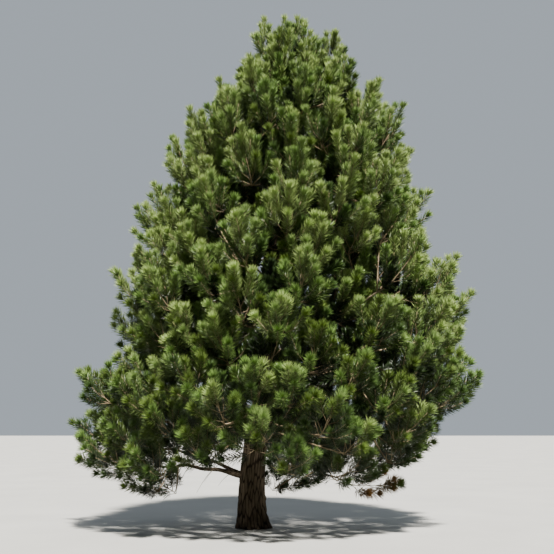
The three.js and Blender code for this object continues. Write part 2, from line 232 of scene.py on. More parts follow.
# Needles: slim blades folded along their midline, widest below their middle. Those inside the crown are
# fewer and wider, except below a height, where they show against the ground.
NEEDLES_PER_METRE = 490
INNER_NEEDLE_SHARE = 0.7
NEEDLE_LENGTH = 0.145
NEEDLE_WIDTH = 0.0125
INNER_NEEDLE_WIDTH = 0.034
FINE_BELOW = 1.9
NEEDLE_KEEL = 0.3
NEEDLE_WIDEST = 0.42
NEEDLE_VARIATION = 0.14
NEEDLE_ROLL = 70
NEEDLE_ANGLE = 46
TOP_NEEDLE_ANGLE = 28
NEEDLE_ANGLE_VARIATION = 12
TIP_FAN_SHARE = 0.34
TIP_FAN_END = 14

# Buds, each a profile of length and radius, and dead twigs, which begin a share out on the bare boughs
BUD_LENGTH = 0.03
BUD_RADIUS = 0.007
BUD_PROFILE = np.array([(0.0, 0.5), (0.35, 1.0), (0.8, 0.35)])
BUD_SIDES = 6
DEAD_TWIGS_PER_BOUGH = 6
DEAD_TWIGS_FROM = 0.3
DEAD_TWIGS_OVER = 0.75
DEAD_TWIG_LENGTH = 0.34
DEAD_TWIG_VARIATION = 0.4
DEAD_TWIG_SLANT = 0.7
DEAD_TWIG_SAG = 0.35
DEAD_TWIG_RADIUS = 0.006
DEAD_TWIG_TAPER = 0.3
DEAD_TWIG_SIDES = 5
DEAD_TWIG_STEPS = 7

# Colours of the needles from the lightest shoots to the deepest, and of those that have browned
# The ladder from light to deep is partly uneven tone and partly painted light and painted shade.
NEEDLE_TINTS = [
    ("sunlit", (0.21, 0.29, 0.085)),
    ("bright", (0.145, 0.22, 0.06)),
    ("green", (0.095, 0.165, 0.035)),
    ("olive", (0.075, 0.12, 0.019)),
    ("deep", (0.035, 0.068, 0.013)),
    ("shade", (0.012, 0.026, 0.005)),
]
BROWNED = ("browned", (0.23, 0.13, 0.045))
BROWNED_LIMB = "low_right"
BROWNED_SHARE = 0.6

# What ranks a shoot from light to deep: chance by spray and by shoot, its place in the crown and its height
# Place and height paint shade: shoots inside the crown, low on their spray and low down rank deeper.
TINT_BY_SPRAY = 0.28
TINT_BY_SHOOT = 0.42
PAINTED_SHADE_BY_PLACE = 0.6
PAINTED_SHADE_BY_HEIGHT = 0.45
PAINTED_SHADE_FULL_HEIGHT = 4.0
TIER_SHADE = 0.5

# Needle tone: factors for a tint's deep and light shades, and how it changes along them and in patches.
# A range is the two values that are read and the two that they become, 0 and 1 if not given.
# Along shoot and needle the tone is painted shade at the foot and painted light at the tip.
NEEDLE_DEEP = 0.22
NEEDLE_LIGHT = 1.75
TONE_BY_SHOOT = 0.55
ALONG_RANGE = (0.1, 0.95, -0.15, 0.75)
PATCH_SCALE = 6.0
PATCH_DETAIL = 2.0
PATCH_RANGE = (0.3, 0.7, 0.0, 0.4)
NEEDLE_ROUGHNESS = 0.42

# Tone of bark and wood: the colours of furrow, plate and fleck, and the strength of the grain's relief
BARKS = {
    "trunk_bark": ((0.026, 0.018, 0.012), (0.098, 0.07, 0.048), (0.19, 0.148, 0.105), 0.7),
    "limb_bark": ((0.03, 0.022, 0.016), (0.1, 0.075, 0.052), (0.2, 0.155, 0.11), 0.5),
    "stem_bark": ((0.08, 0.058, 0.038), (0.26, 0.2, 0.135), (0.48, 0.39, 0.28), 0.4),
    "twig_bark": ((0.1, 0.07, 0.04), (0.28, 0.21, 0.13), (0.48, 0.38, 0.25), 0.3),
    "dead_wood": ((0.12, 0.1, 0.08), (0.26, 0.23, 0.19), (0.42, 0.39, 0.33), 0.4),
    "bud_scale": ((0.2, 0.13, 0.08), (0.34, 0.24, 0.15), (0.5, 0.42, 0.32), 0.3),
}
GRAIN_SCALE = 38.0
GRAIN_DETAIL = 6.0
GRAIN_STRETCH = (1, 1, 0.3)
GRAIN_TONE_RANGE = (0.3, 0.7, 0.0, 0.6)
GRAIN_ROUGHNESS_RANGE = (0.2, 0.8, 0.8, 1.0)
PLATE_TONE_SHARE = 0.5
FURROW_RANGE = (0.15, 0.85)
RELIEF_SCALE = 90.0
RELIEF_DETAIL = 5.0
RELIEF_STRETCH = (1, 1, 0.35)
RELIEF_DISTANCE = 0.004
BARK_SPECULAR = 0.2

# Stage: floor, key light, surround and camera, with its lens and sensor in millimetres
FLOOR_HALF = 150.0
FLOOR_COLOURS = [(0.5, 0.5, 0.48, 1.0), (0.56, 0.56, 0.54, 1.0)]
FLOOR_BOUNCE = (0.14, 0.15, 0.12, 1.0)
FLOOR_SCALE = 0.6
FLOOR_DETAIL = 3.0
FLOOR_RANGE = (0.3, 0.7)
FLOOR_ROUGHNESS = 0.9
KEY_STRENGTH = 12.8
KEY_SPREAD = 5
KEY_COLOUR = (1.0, 0.96, 0.88)
KEY_TURN = (38, 0, 12)
SURROUND_COLOUR = (0.8, 0.9, 1.0, 1.0)
FILL_LIGHT = 0.045
BACK_LIGHT = 1.1
BACKDROP_LIGHT = 0.5
CAMERA_PLACE = (0.4, -15.2, 1.6)
CAMERA_TURN = (99.2, 0, 0)
LENS = 60.0
SENSOR = 36.0
SIGHT = 500.0

# Upward, and the least value that is divided by
UP = np.array([0.0, 0.0, 1.0])
TINY = 1e-12


def chance(a, b, c):
    """A number from 0 to 1 that depends only on its keys: the fraction of a large multiple of a sine."""
    wave = np.sin(a * CHANCE_FIRST + b * CHANCE_SECOND + c * CHANCE_THIRD) * CHANCE_SPREAD
    return wave - np.floor(wave)


def swing(a, b, c):
    """A number from -1 to 1 by chance."""
    return 2 * chance(a, b, c) - 1


def varied(share, a, b, c):
    """A factor near 1, up to a share more or less."""
    return 1 + share * swing(a, b, c)


def between(low, high, share):
    """The value at a share of the way from low to high."""
    return low + (high - low) * share


def unit(vectors):
    """Vectors divided by their own lengths."""
    return vectors / np.maximum(np.linalg.norm(vectors, axis=-1, keepdims=True), TINY)


def outward(turn):
    """Level direction at a turn from +X, in radians."""
    return np.stack([np.cos(turn), np.sin(turn), np.zeros_like(turn)], axis=-1)


def across(along):
    """Axes across a direction: side is level, over points up and stands square to both."""
    side = unit(np.cross(along, UP))
    return side, np.cross(side, along)


def turned(along, angle):
    """Direction square to another, at an angle round it from the level side, in radians."""
    side, over = across(along)
    return side * np.cos(angle) + over * np.sin(angle)


def curve(line, share):
    """Point on a bent line of three points: the quadratic curve from the first to the last."""
    t = np.asarray(share)[..., None]
    return (1 - t) ** 2 * line[0] + 2 * t * (1 - t) * line[1] + t**2 * line[2]


def curve_heading(line, share):
    """Direction of that curve."""
    t = np.asarray(share)[..., None]
    return unit((1 - t) * (line[1] - line[0]) + t * (line[2] - line[1]))


def curve_length(line):
    """Length of that curve, added up over short steps."""
    steps = curve(line, np.linspace(0, 1, LENGTH_STEPS + 1))
    return np.sum(np.linalg.norm(np.diff(steps, axis=0), axis=1))


# Trunk and crown, as in the solids


def crown_reach(height, turn):
    """Reach of the tips at a height and a turn: straight between the outline's heights, and from left to
    right with the cosine of the turn."""
    left = np.interp(height, OUTLINE_HEIGHT, OUTLINE_LEFT)
    right = np.interp(height, OUTLINE_HEIGHT, OUTLINE_RIGHT)
    return between(left, right, (1 + np.cos(turn)) / 2)


def trunk_point(height):
    """Middle of the trunk at a height: a lean towards +X and a slow sway, as a sine of the height."""
    sway = SWAY * np.sin(2 * np.pi * height / SWAY_LENGTH)
    return np.stack([LEAN * height - sway, sway / 2, height], axis=-1)


def trunk_radius(height):
    """Radius that falls off from foot to tip as a power of the height that is left."""
    left = np.maximum(0, 1 - height / TRUNK_HEIGHT)
    return between(TRUNK_TIP_RADIUS, TRUNK_RADIUS, left**TRUNK_SHAPE)


def flare_radius(height, angle):
    """Root flare: lobes round the foot that die away with height, largest on the +X side."""
    lobes = 1 + ROOT_LOBE_DEPTH * np.cos(ROOT_LOBES * angle) + FLARE_SIDE * np.cos(angle)
    return FLARE * lobes * np.exp(-height / FLARE_HEIGHT)


def spray_size(reach):
    """Sprays are smaller where the crown is narrow."""
    return np.clip(reach / FULL_SIZE_REACH, LEAST_SIZE, 1)


def spray_lift(height):
    """Angle at which sprays rise: leaning out low down and standing up towards the top."""
    return np.radians(between(LOW_LIFT, HIGH_LIFT, height / CROWN_TOP))


def limb_line(foot, turn, reach, tip, arch=0):
    """A limb's line from the middle of the trunk out to where its last spray begins, with any arch."""
    out = outward(turn)
    length = reach - SPRAY_LENGTH * spray_size(reach) * SPRAY_OVERHANG * np.cos(spray_lift(tip))
    start = trunk_point(foot)
    end = trunk_point(tip) + out * length
    bend = start + out * length * ARCH_OUT
    bend[2] = between(foot, tip, ARCH_UP) + arch
    return np.array([start, bend, end])


def new_limb(seed, group, name, line, reach, radius, bare):
    """A limb: its line with knots along it, those of its bare bough, and the stem that bears its twigs."""
    shares = np.arange(LINE_STEPS + 1) / LINE_STEPS
    knots = curve(line, shares)
    start = max(bare + TWIGS_PAST_BOUGH, TWIGS_FROM)
    stem_shares = between(start, 1, shares)
    return {
        "seed": seed, "group": group, "low": group == "low", "name": name, "line": line, "reach": reach,
        "radius": radius, "bare": bare, "length": curve_length(line), "knots": knots,
        "bough": knots[: int(np.ceil(bare * LINE_STEPS)) + 1], "from": start, "stem_shares": stem_shares,
        "stem": curve(line, stem_shares),
    }


def list_limbs():
    """Every limb of the tree: the low ones, the whorls and the leader, numbered in that order."""
    limbs = []
    for name, height, turn, reach, tip, arch, radius, bare in LOW_LIMBS:
        line = limb_line(height, np.radians(turn), reach, tip, arch)
        limbs.append(new_limb(len(limbs) + 1, "low", name, line, reach, radius, bare))
    for whorl, height, count, first, rise, radius, bare in WHORLS:
        for i in range(count):
            seed = len(limbs) + 1
            turn = np.radians(first + 360 / count * i + TURN_VARIATION * swing(seed, 1, 0))
            tip = height + rise * varied(RISE_VARIATION, seed, 2, 0)
            spray_top = tip + SPRAY_LENGTH * np.sin(spray_lift(tip))
            reach = crown_reach(spray_top, turn) * varied(REACH_VARIATION, seed, 3, 0)
            line = limb_line(height, turn, reach, tip)
            limbs.append(new_limb(seed, whorl, f"{whorl}_{i + 1}", line, reach, radius, bare))
    start = trunk_point(TRUNK_HEIGHT)
    end = trunk_point(CROWN_TOP - SPRAY_LENGTH * LEAST_SIZE - SPRAY_SINK) + np.array([LEADER_LEAN, 0, 0])
    line = np.array([start, (start + end) / 2, end])
    limbs.append(new_limb(len(limbs) + 1, "leader", "leader", line, 0, TRUNK_TIP_RADIUS, 0))
    return limbs


def gaps(points, starts, ends):
    """Distance from each point to each straight stretch: to its nearest place, kept between its ends."""
    span = ends - starts
    away = points[:, None] - starts
    share = np.sum(away * span, axis=-1) / np.maximum(np.sum(span * span, axis=-1), TINY)
    return np.linalg.norm(away - np.clip(share, 0, 1)[..., None] * span, axis=-1)


def gap_to_knots(points, knots):
    """Distance from each point to a line of knots."""
    return gaps(points, knots[:-1], knots[1:]).min(axis=1)


def spray_balls(spray):
    """Balls that stand for a spray where its room is checked: down its core and at its tiers of points."""
    root, axis, radius = spray["root"], spray["along"] * spray["length"], spray["radius"]
    middles = [root + axis * at for at, _ in CORE_BALLS]
    radii = [radius * size for _, size in CORE_BALLS]
    for at, out in POINT_TIERS:
        for i in range(SPRAY_SIDES):
            away = turned(spray["along"], spray["roll"] + 2 * np.pi * i / SPRAY_SIDES)
            middles.append(root + axis * at + away * radius * out * POINT_BALL_OUT)
            radii.append(radius * out * POINT_BALL_RADIUS)
    return np.array(middles), np.array(radii)


def list_sites():
    """Sites for sprays up a spiral on each shell of the crown, an even area apart."""
    sites = []
    for share, area, turn in SHELLS:
        height = CROWN_FOOT
        while height < OUTLINE_HEIGHT[-1]:
            key = len(sites) + 1
            reach = share * crown_reach(height, turn) * varied(REACH_VARIATION, key, 1, 0)
            sites.append({"key": key, "height": height, "turn": turn, "reach": reach, "share": share})
            mean = crown_reach(height, np.pi / 2)
            height += area * spray_size(mean) ** 2 / (2 * np.pi * share * mean)
            turn += GOLDEN_TURN
    return sites


def site_spray(site):
    """A spray whose tip lies at its site."""
    key, height = site["key"], site["height"]
    lift = spray_lift(height)
    out = outward(site["turn"])
    along = out * np.cos(lift) + UP * np.sin(lift)
    size = spray_size(crown_reach(height, site["turn"])) * varied(SPRAY_VARIATION, key, 2, 0)
    length = SPRAY_LENGTH * size
    return {
        "root": trunk_point(height) + out * site["reach"] - along * length, "along": along,
        "length": length, "radius": SPRAY_RADIUS * size, "roll": 2 * np.pi * chance(key, 3, 0),
        "share": site["share"],
    }


def end_spray(limb):
    """The spray that a limb ends in, on a short twig out of the stem's end."""
    end = limb["line"][2]
    going = curve_heading(limb["line"], 1)
    size = spray_size(limb["reach"])
    return {
        "foot": end - going * SPRAY_SINK, "root": end + going * SPRAY_SINK, "share": 1.0,
        "along": unit(going + UP * UPTURN), "length": SPRAY_LENGTH * size, "radius": SPRAY_RADIUS * size,
        "roll": 2 * np.pi * chance(limb["seed"], 4, 0),
    }


def twig_foot(limb, point):
    """Where the twig to a point leaves a limb's stem: at a slant, further in than the nearest place."""
    nearest = np.argmin(np.linalg.norm(limb["stem"] - point, axis=1))
    back = TWIG_SLANT * gap_to_knots(point[None], limb["stem"])[0] / limb["length"]
    return curve(limb["line"], max(limb["from"], limb["stem_shares"][nearest] - back))


def has_room(limb, stretches, middles, radii):
    """Whether balls are clear of the ground, the trunk, the limb's bare bough and other limbs and twigs."""
    if np.any(middles[:, 2] < radii + GROUND_GAP):
        return False
    trunk_gap = np.linalg.norm(middles - trunk_point(np.minimum(middles[:, 2], TRUNK_HEIGHT)), axis=1)
    if np.any(trunk_gap < trunk_radius(middles[:, 2]) + radii + CLEARANCE):
        return False
    if limb["bare"] > 0 and np.any(gap_to_knots(middles, limb["bough"]) < radii + limb["radius"]):
        return False
    others = stretches["seed"] != limb["seed"]
    gap = gaps(middles, stretches["start"][others], stretches["end"][others])
    return bool(np.all(gap > radii[:, None] + stretches["radius"][others] + CLEARANCE))


def apart(limb, balls, middles, radii):
    """Whether balls are apart from those of all sprays, less strictly from those of their own limb."""
    share = np.where(balls["seed"] == limb["seed"], CROWDING, 1)
    gap = np.linalg.norm(middles[:, None] - balls["middle"], axis=-1)
    return bool(np.all(gap > share * (radii[:, None] + balls["radius"] + SPRAY_GAP)))


def joined(table, limb, **more):
    """A table of arrays with more rows put on, all with one limb's seed."""
    more["seed"] = [limb["seed"]] * len(more["radius"])
    return {key: np.concatenate([rows, more[key]]) for key, rows in table.items()}


def in_hollow(spray):
    """Whether a spray's middle lies within the hollow."""
    hollow = trunk_point(HOLLOW_HEIGHT) + outward(np.radians(HOLLOW_TURN)) * HOLLOW_REACH
    return np.linalg.norm(spray["root"] + spray["along"] * spray["length"] / 2 - hollow) < HOLLOW_RADIUS


def grow_crown(limbs):
    """The spray at each limb's end, in the limbs' order, then a twig and a spray at each site, on the limb
    whose stem passes nearest, where they find room. Of these none grow in the hollow, and below the
    underside only the low limbs bear any."""
    sprays = []
    balls = {"middle": np.zeros((0, 3)), "radius": np.zeros(0), "seed": np.zeros(0)}
    stretches = {
        "start": np.concatenate([limb["knots"][:-1] for limb in limbs]),
        "end": np.concatenate([limb["knots"][1:] for limb in limbs]),
        "radius": np.repeat([limb["radius"] for limb in limbs], LINE_STEPS),
        "seed": np.repeat([limb["seed"] for limb in limbs], LINE_STEPS),
    }
    for limb in limbs:
        spray = end_spray(limb)
        middles, radii = spray_balls(spray)
        balls = joined(balls, limb, middle=middles, radius=radii)
        sprays.append({**spray, "limb": limb})
    checks = np.arange(1, TWIG_CHECKS + 1)[:, None] / TWIG_CHECKS
    for site in list_sites():
        spray = site_spray(site)
        root = spray["root"]
        limb = limbs[int(np.argmin([gap_to_knots(root[None], each["stem"])[0] for each in limbs]))]
        foot = twig_foot(limb, root)
        middles, radii = spray_balls(spray)
        all_middles = np.concatenate([foot + (root - foot) * checks, middles])
        all_radii = np.concatenate([np.full(TWIG_CHECKS, TWIG_ROOM), radii])
        hangs = site["height"] < UNDERSIDE and not limb["low"]
        straggles = np.linalg.norm(root - foot) > (LOW_TWIG_LONGEST if limb["low"] else TWIG_LONGEST)
        kept_out = in_hollow(spray) or hangs or straggles
        if kept_out or not has_room(limb, stretches, all_middles, all_radii):
            continue
        if not apart(limb, balls, all_middles, all_radii):
            continue
        stretches = joined(stretches, limb, start=[foot], end=[root], radius=[TWIG_ROOM])
        balls = joined(balls, limb, middle=middles, radius=radii)
        sprays.append({**spray, "foot": foot, "limb": limb})
    return sprays


# Meshes


def tube_faces(count, steps, sides):
    """Triangles of closed tubes whose points run ring by ring, then the two end points of each tube."""
    per_tube = steps * sides + 2
    ring = np.arange(sides)
    after = (ring + 1) % sides
    base = (np.arange(steps - 1) * sides)[:, None]
    a, b = base + ring, base + after
    c, d = b + sides, a + sides
    walls = np.concatenate([np.stack([a, b, c], -1).reshape(-1, 3), np.stack([a, c, d], -1).reshape(-1, 3)])
    last = (steps - 1) * sides
    start = np.stack([np.full(sides, per_tube - 2), after, ring], -1)
    end = np.stack([np.full(sides, per_tube - 1), last + ring, last + after], -1)
    one = np.concatenate([walls, start, end])
    return (one[None] + (np.arange(count) * per_tube)[:, None, None]).reshape(-1, 3)


def tubes(paths, radii, sides):
    """Closed tubes along many paths at once: round each path point a ring of points, square to the path, at
    its radius; radii are given by tube and step, or by tube, step and side."""
    count, steps = paths.shape[:2]
    heading = unit(np.gradient(paths, axis=1))
    overall = np.abs(paths[:, -1] - paths[:, 0])
    reference = np.eye(3)[np.argmin(overall, axis=1)]
    side = unit(np.cross(heading, reference[:, None]))
    over = np.cross(heading, side)
    angle = 2 * np.pi * np.arange(sides) / sides
    ring = side[:, :, None] * np.cos(angle)[:, None] + over[:, :, None] * np.sin(angle)[:, None]
    out = radii[..., None, None] if radii.ndim == 2 else radii[..., None]
    points = (paths[:, :, None] + ring * out).reshape(count, steps * sides, 3)
    points = np.concatenate([points, paths[:, :1], paths[:, -1:]], axis=1)
    return points.reshape(-1, 3), tube_faces(count, steps, sides)


def blades(root, heading, wide, length, width):
    """Needle blades: a root, a tip, and a point to either side at the widest place, folded back from the
    midline between root and tip, which is the edge that the two faces share."""
    back = np.cross(heading, wide)
    middle = root + heading * (length * NEEDLE_WIDEST)[:, None] - back * (width * NEEDLE_KEEL)[:, None]
    reach = wide * (width / 2)[:, None]
    points = np.stack([root, middle + reach, middle - reach, root + heading * length[:, None]], axis=1)
    one = np.array([[0, 1, 3], [0, 3, 2]])
    faces = one[None] + 4 * np.arange(len(root))[:, None, None]
    return points.reshape(-1, 3), faces.reshape(-1, 3)


def add_object(name, data):
    """An object in the scene that shows a mesh, a light or a camera."""
    thing = bpy.data.objects.new(name, data)
    bpy.context.scene.collection.objects.link(thing)
    return thing


def add_piece(name, points, faces, material, slot, nodes, smooth=True, **values):
    """A mesh piece from arrays of points, triangles and values at its points, riding on the tree."""
    mesh = bpy.data.meshes.new(name)
    mesh.vertices.add(len(points))
    mesh.vertices.foreach_set("co", points.astype(np.float32).ravel())
    mesh.loops.add(faces.size)
    mesh.loops.foreach_set("vertex_index", faces.astype(np.int32).ravel())
    mesh.polygons.add(len(faces))
    mesh.polygons.foreach_set("loop_start", np.arange(0, faces.size, 3, dtype=np.int32))
    mesh.polygons.foreach_set("use_smooth", np.full(len(faces), smooth))
    mesh.update(calc_edges=True)
    for key, value in values.items():
        attribute = mesh.attributes.new(key, "FLOAT", "POINT")
        attribute.data.foreach_set("value", value.astype(np.float32).ravel())
    mesh.materials.append(material)
    piece = add_object(name, mesh)
    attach(piece, "root")
    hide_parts(*nodes)


# Bark


def bark_plates(turn, run, columns, plate, seed):
    """Plates and furrows of bark at a turn, as a share of the way round, and a run along the limb. Each cell
    of a lattice on them has a middle, shifted by chance. A point is in a furrow as far as its two nearest
    middles are equally near, with eased edges. Gives that share, and a tone from 0 to 1 for its plate."""
    place = turn * columns
    row_place = run / plate
    first = np.full(place.shape, np.inf)
    second = np.full(place.shape, np.inf)
    tone = np.zeros(place.shape)
    for i in (-1, 0, 1):
        for j in (-1, 0, 1):
            column = np.floor(place) + i
            row = np.floor(row_place) + j
            key = np.mod(column, columns)
            shift = PLATE_JITTER * (chance(key, row, seed) - 0.5)
            row_shift = PLATE_JITTER * (chance(key, row, seed + 1) - 0.5)
            span = np.hypot(column + 0.5 + shift - place, row + 0.5 + row_shift - row_place)
            nearer = span < first
            second = np.where(nearer, first, np.minimum(second, span))
            tone = np.where(nearer, chance(key, row, seed + 2), tone)
            first = np.minimum(first, span)
    edge = np.clip((second - first) / FURROW_SHARE, 0, 1)
    return 1 - edge**2 * (3 - 2 * edge), tone


def bark_relief(turn, run, columns, plate, depth, seed):
    """Bark as a factor on the radius: furrows between plates of uneven height, and scales on the plates."""
    furrow, tone = bark_plates(turn, run, columns, plate, seed)
    scale, _ = bark_plates(turn, run, columns * SCALES_PER_PLATE, plate / SCALES_PER_PLATE, seed + 3)
    uneven = depth * PLATE_UNEVENNESS * (tone - 0.5)
    return 1 - depth * furrow + uneven - SCALE_DEPTH * scale * (1 - furrow), furrow, tone


def make_trunk(material):
    """The trunk as rings up its leaning, swaying middle: taper, flare, a swelling at each whorl, a knob on
    the right near the foot, and the bark's relief as a factor on the radius."""
    height = TRUNK_HEIGHT * (np.arange(TRUNK_RINGS) / (TRUNK_RINGS - 1)) ** TRUNK_CROWDING
    turn = np.arange(TRUNK_SIDES) / TRUNK_SIDES
    up, around = np.meshgrid(height, turn, indexing="ij")
    angle = 2 * np.pi * around
    plates = (PLATE_COLUMNS, PLATE_LENGTH, FURROW_DEPTH)
    factor, furrow, tone = bark_relief(around, up, *plates, TRUNK_BARK_SEED)
    swell = sum(np.exp(-(((up - whorl[1]) / WHORL_SWELL_HEIGHT) ** 2)) for whorl in WHORLS)
    radius = trunk_radius(up) * (1 + WHORL_SWELL * swell) + flare_radius(up, angle)
    aside = (np.mod(angle - KNOB_TURN + np.pi, 2 * np.pi) - np.pi) * TRUNK_RADIUS
    knob = KNOB_STANDS_OUT * np.exp(-(aside**2 + (up - KNOB_HEIGHT) ** 2) / KNOB_SIZE**2)
    points = trunk_point(up) + outward(angle) * (radius * factor + knob)[..., None]
    ends = trunk_point(np.array([0.0, TRUNK_HEIGHT]))
    points = np.concatenate([points.reshape(-1, 3), ends])
    faces = tube_faces(1, TRUNK_RINGS, TRUNK_SIDES)
    values = {"furrow": np.append(furrow, END_VALUES), "tone": np.append(tone, END_VALUES)}
    add_piece("trunk_bark", points, faces, material, "trunk_bark", ["trunk"], **values)


def limb_radius(limb, share):
    """Radius along a limb: tapered over its bare share, with a collar at the trunk, then to a thin tip."""
    foot, bare = limb["radius"], limb["bare"]
    if bare == 0:
        return between(foot, STEM_TIP_RADIUS, share)
    collar = COLLAR * np.exp(-share / bare / COLLAR_SHARE)
    bough = foot * (between(1, LIMB_TAPER, share / bare) + collar)
    stem = between(foot * LIMB_TAPER, STEM_TIP_RADIUS, (share - bare) / (1 - bare))
    return np.where(share < bare, bough, stem)


def limb_course(limb, start, end, sides, rings):
    """A stretch of a limb with its bark: its path along the limb's line, in slight waves that die out at the
    limb's ends, its radii, with the bark's relief as a factor on them, and the bark's values."""
    share = between(start, end, np.arange(rings) / (rings - 1))
    side, over = across(curve_heading(limb["line"], share))
    turn = 2 * np.pi * (LIMB_WAVES * share + chance(limb["seed"], 5, 0))[:, None]
    wave = LIMB_WAVE * np.sin(np.pi * share)[:, None]
    path = curve(limb["line"], share) + wave * (side * np.sin(turn) + over * np.cos(turn))
    run, around = np.meshgrid(share * limb["length"], np.arange(sides) / sides, indexing="ij")
    plates = (LIMB_PLATE_COLUMNS, LIMB_PLATE_LENGTH, LIMB_FURROW_DEPTH)
    factor, furrow, tone = bark_relief(around, run, *plates, limb["seed"])
    radii = limb_radius(limb, share)[:, None] * factor
    return path, radii, np.append(furrow, END_VALUES), np.append(tone, END_VALUES)


def add_limbs(name, limbs, stretches, sides, rings, material, nodes):
    """Limbs as one piece of tubes, each over a stretch from one share of it to another."""
    courses = [limb_course(limb, *stretch, sides, rings) for limb, stretch in zip(limbs, stretches)]
    paths, radii, furrow, tone = [np.array(column) for column in zip(*courses)]
    points, faces = tubes(paths, radii, sides)
    add_piece(name, points, faces, material, "limb_bark", nodes, furrow=furrow, tone=tone)


def add_tubes(name, paths, radii, sides, material, nodes):
    """Thin wood as one piece of tubes, all with the same radii from foot to tip."""
    points, faces = tubes(paths, np.tile(radii, (len(paths), 1)), sides)
    add_piece(name, points, faces, material, "limb_bark", nodes)


def make_boughs(limbs, material):
    """The bare boughs, one piece for the low limbs and one for each whorl."""
    bare = [limb for limb in limbs if limb["bare"] > 0]
    for group in dict.fromkeys(limb["group"] for limb in bare):
        members = [limb for limb in bare if limb["group"] == group]
        nodes = ["bough_" + limb["name"] for limb in members]
        stretches = [(0, limb["bare"]) for limb in members]
        add_limbs(f"boughs_{group}", members, stretches, BOUGH_SIDES, BOUGH_RINGS, material, nodes)


# Twigs, shoots and needles


def stacked(sprays, *keys):
    """Some values of all the sprays, each as an array."""
    return [np.array([spray[key] for spray in sprays]) for key in keys]


def end_to_end(rows):
    """Rows of arrays joined, column by column, into one row of long arrays."""
    return [np.concatenate(column) for column in zip(*rows)]


def make_twigs(sprays, material, nodes):
    """A twig for each spray: bent from its foot on the stem into the spray's axis, then straight up it."""
    foot, root, along, length = stacked(sprays, "foot", "root", "along", "length")
    axis = along * length[:, None]
    line = [place[:, None] for place in (foot, root, root + axis * TWIG_BEND_END)]
    bent = curve(line, np.arange(TWIG_BEND_STEPS) / TWIG_BEND_STEPS)
    share = np.linspace(TWIG_BEND_END, TWIG_AXIS_END, TWIG_AXIS_STEPS)[:, None]
    paths = np.concatenate([bent, root[:, None] + axis[:, None] * share], axis=1)
    radii = between(TWIG_RADIUS, TWIG_TIP_RADIUS, np.linspace(0, 1, paths.shape[1]))
    add_tubes("twigs", paths, radii, TWIG_SIDES, material, nodes)


def tier_shoots(sprays):
    """Shoots in tiers round each spray's axis, and last one at its tip. Each runs from the axis outwards to
    its bend, then forwards and up to its end, the more so the higher it stands. Gives starts, bends, ends,
    the spray of each and how far up that spray it ends."""
    root, along, length, radius, roll = stacked(sprays, "root", "along", "length", "radius", "roll")
    lift = between(LOW_UPSWEEP, HIGH_UPSWEEP, root[:, 2] / CROWN_TOP)
    upsweep = (length * lift)[:, None] * UP
    order = np.arange(len(sprays))
    rows = []
    for leaves, at, out, turn, count in SHOOT_TIERS:
        for i in range(count):
            key = len(rows) + 1
            aside = SHOOT_TURN_VARIATION * swing(order, key, 1)
            away = turned(along, (roll + np.radians(turn + 360 / count * i + aside))[:, None])
            away[:, 2] = np.maximum(away[:, 2], -SHOOT_DROOP)
            reach = (radius * out * varied(SHOOT_VARIATION, order, key, 2))[:, None]
            far = (length * at * varied(SHOOT_END_VARIATION, order, key, 3))[:, None]
            near = (length * leaves * varied(SHOOT_VARIATION, order, key, 4))[:, None]
            start = root + along * near
            bend = start + away * reach * SHOOT_BEND_OUT + along * (far - near) * SHOOT_BEND_ALONG
            end = root + along * far + away * reach + upsweep
            rows.append((start, bend, end, order, np.full(len(sprays), at)))
    start = root + along * (length * TIP_SHOOT_FROM)[:, None]
    longer = TIP_SHOOT_LONGER * chance(order, 2, 11) ** 2 * root[:, 2] / CROWN_TOP
    end = root + along * (length * (TIP_SHOOT_TO + longer))[:, None]
    rows.append((start, (start + end) / 2, end + upsweep * TIP_UPSWEEP, order, np.ones(len(sprays))))
    return end_to_end(rows)


def side_shoots(sprays, limbs):
    """Short shoots at even steps along the twigs and the limbs' stems, turned by the golden angle, lifted
    and kept from drooping. Those on a stem belong to the limb's end spray, and all count as the lowest
    shoots of their spray."""
    foot, root = stacked(sprays, "foot", "root")
    span = np.linalg.norm(root - foot, axis=1)
    heading = unit(root - foot)
    order = np.arange(len(sprays))
    rows = []
    for i in range(SIDE_SHOOT_MOST):
        at = SIDE_SHOOT_FROM + i * SIDE_SHOOT_EVERY
        bears = at < span
        rows.append((foot[bears] + heading[bears] * at, heading[bears], order[bears]))
    for i, limb in enumerate(limbs):
        count = int(limb["length"] * (1 - limb["from"]) / SIDE_SHOOT_EVERY)
        share = np.linspace(limb["from"], 1, count)
        rows.append((curve(limb["line"], share), curve_heading(limb["line"], share), np.full(count, i)))
    start, along, owner = end_to_end(rows)
    height = start[:, 2]
    from_trunk = np.linalg.norm(start - trunk_point(height), axis=1)
    bears = (height > UNDERSIDE) | ((height > LOW_SHOOT_HEIGHT) & (from_trunk > LOW_SHOOT_REACH))
    start, along, owner = start[bears], along[bears], owner[bears]
    number = np.arange(len(start))
    away = turned(along, (number * GOLDEN_TURN)[:, None])
    away[:, 2] = np.maximum(away[:, 2], -SIDE_SHOOT_DROOP)
    size = (SIDE_SHOOT_LENGTH * varied(SHOOT_VARIATION, number, 1, 8))[:, None]
    bend = start + (away + along) * size * SIDE_SHOOT_BEND
    end = start + unit(away + along + UP * SIDE_SHOOT_LIFT) * size
    return start, bend, end, owner, np.zeros(len(start))


def list_shoots(sprays, limbs):
    """All shoots. How far out one stands is its spray's share of the crown's reach, or nothing for side
    shoots. Its place is that, less for a shoot that ends low on its spray; it sets painted shade, deeper
    inside the crown and low on a spray. Its needles are as fine as it stands far out, and wholly fine low
    down. The shoots at the sprays' tips lead."""
    tiers = tier_shoots(sprays)
    start, bend, end, owner, top = end_to_end([tiers, side_shoots(sprays, limbs)])
    share = stacked(sprays, "share")[0]
    outer = (top > 0) * share[owner]
    place = outer * (1 - TIER_SHADE * (1 - top))
    fine = np.where(start[:, 2] < FINE_BELOW, 1.0, outer)
    count = len(tiers[0])
    leads = np.arange(count - len(sprays), count)
    line = np.stack([start, bend, end])
    return {"line": line, "spray": owner, "place": place, "fine": fine, "leads": leads}


